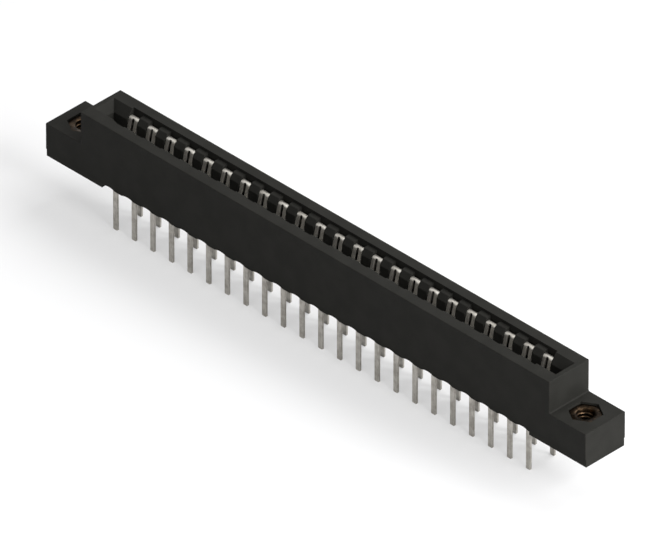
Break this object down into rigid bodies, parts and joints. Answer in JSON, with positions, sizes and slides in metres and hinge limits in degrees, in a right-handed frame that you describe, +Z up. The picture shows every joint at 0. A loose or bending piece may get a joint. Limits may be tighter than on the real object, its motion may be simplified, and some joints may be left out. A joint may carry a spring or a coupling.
{
  "type": "card edge connector",
  "caption": "Two-row card edge connector: slotted black body with mounting ears, threaded brass inserts, folded spring contacts and straight solder tails.",
  "frame": {"origin": "middle of the connector's base rectangle, in the plane of the tail tips", "axes": "+X along the connector, -Y towards the front, +Z up out of the card slot"},
  "size_m": [0.1138, 0.0084, 0.0194],
  "materials": {
    "insulator": "black moulded thermoplastic, satin with a very fine grain",
    "contact": "copper alloy strip with a bright tin-coloured plating",
    "insert": "turned brass, darkened brown, with a brighter thread"
  },
  "bodies": {
    "root": {"insulator": "insulator", "contact_front_01": "contact", "contact_back_01": "contact", "contact_front_02": "contact", "contact_back_02": "contact", "contact_front_03": "contact", "contact_back_03": "contact", "contact_front_04": "contact", "contact_back_04": "contact", "contact_front_05": "contact", "contact_back_05": "contact", "contact_front_06": "contact", "contact_back_06": "contact", "contact_front_07": "contact", "contact_back_07": "contact", "contact_front_08": "contact", "contact_back_08": "contact", "contact_front_09": "contact", "contact_back_09": "contact", "contact_front_10": "contact", "contact_back_10": "contact", "contact_front_11": "contact", "contact_back_11": "contact", "contact_front_12": "contact", "contact_back_12": "contact", "contact_front_13": "contact", "contact_back_13": "contact", "contact_front_14": "contact", "contact_back_14": "contact", "contact_front_15": "contact", "contact_back_15": "contact", "contact_front_16": "contact", "contact_back_16": "contact", "contact_front_17": "contact", "contact_back_17": "contact", "contact_front_18": "contact", "contact_back_18": "contact", "contact_front_19": "contact", "contact_back_19": "contact", "contact_front_20": "contact", "contact_back_20": "contact", "contact_front_21": "contact", "contact_back_21": "contact", "contact_front_22": "contact", "contact_back_22": "contact", "contact_front_23": "contact", "contact_back_23": "contact", "insert_left": "insert", "insert_right": "insert"}
  },
  "joints": []
}
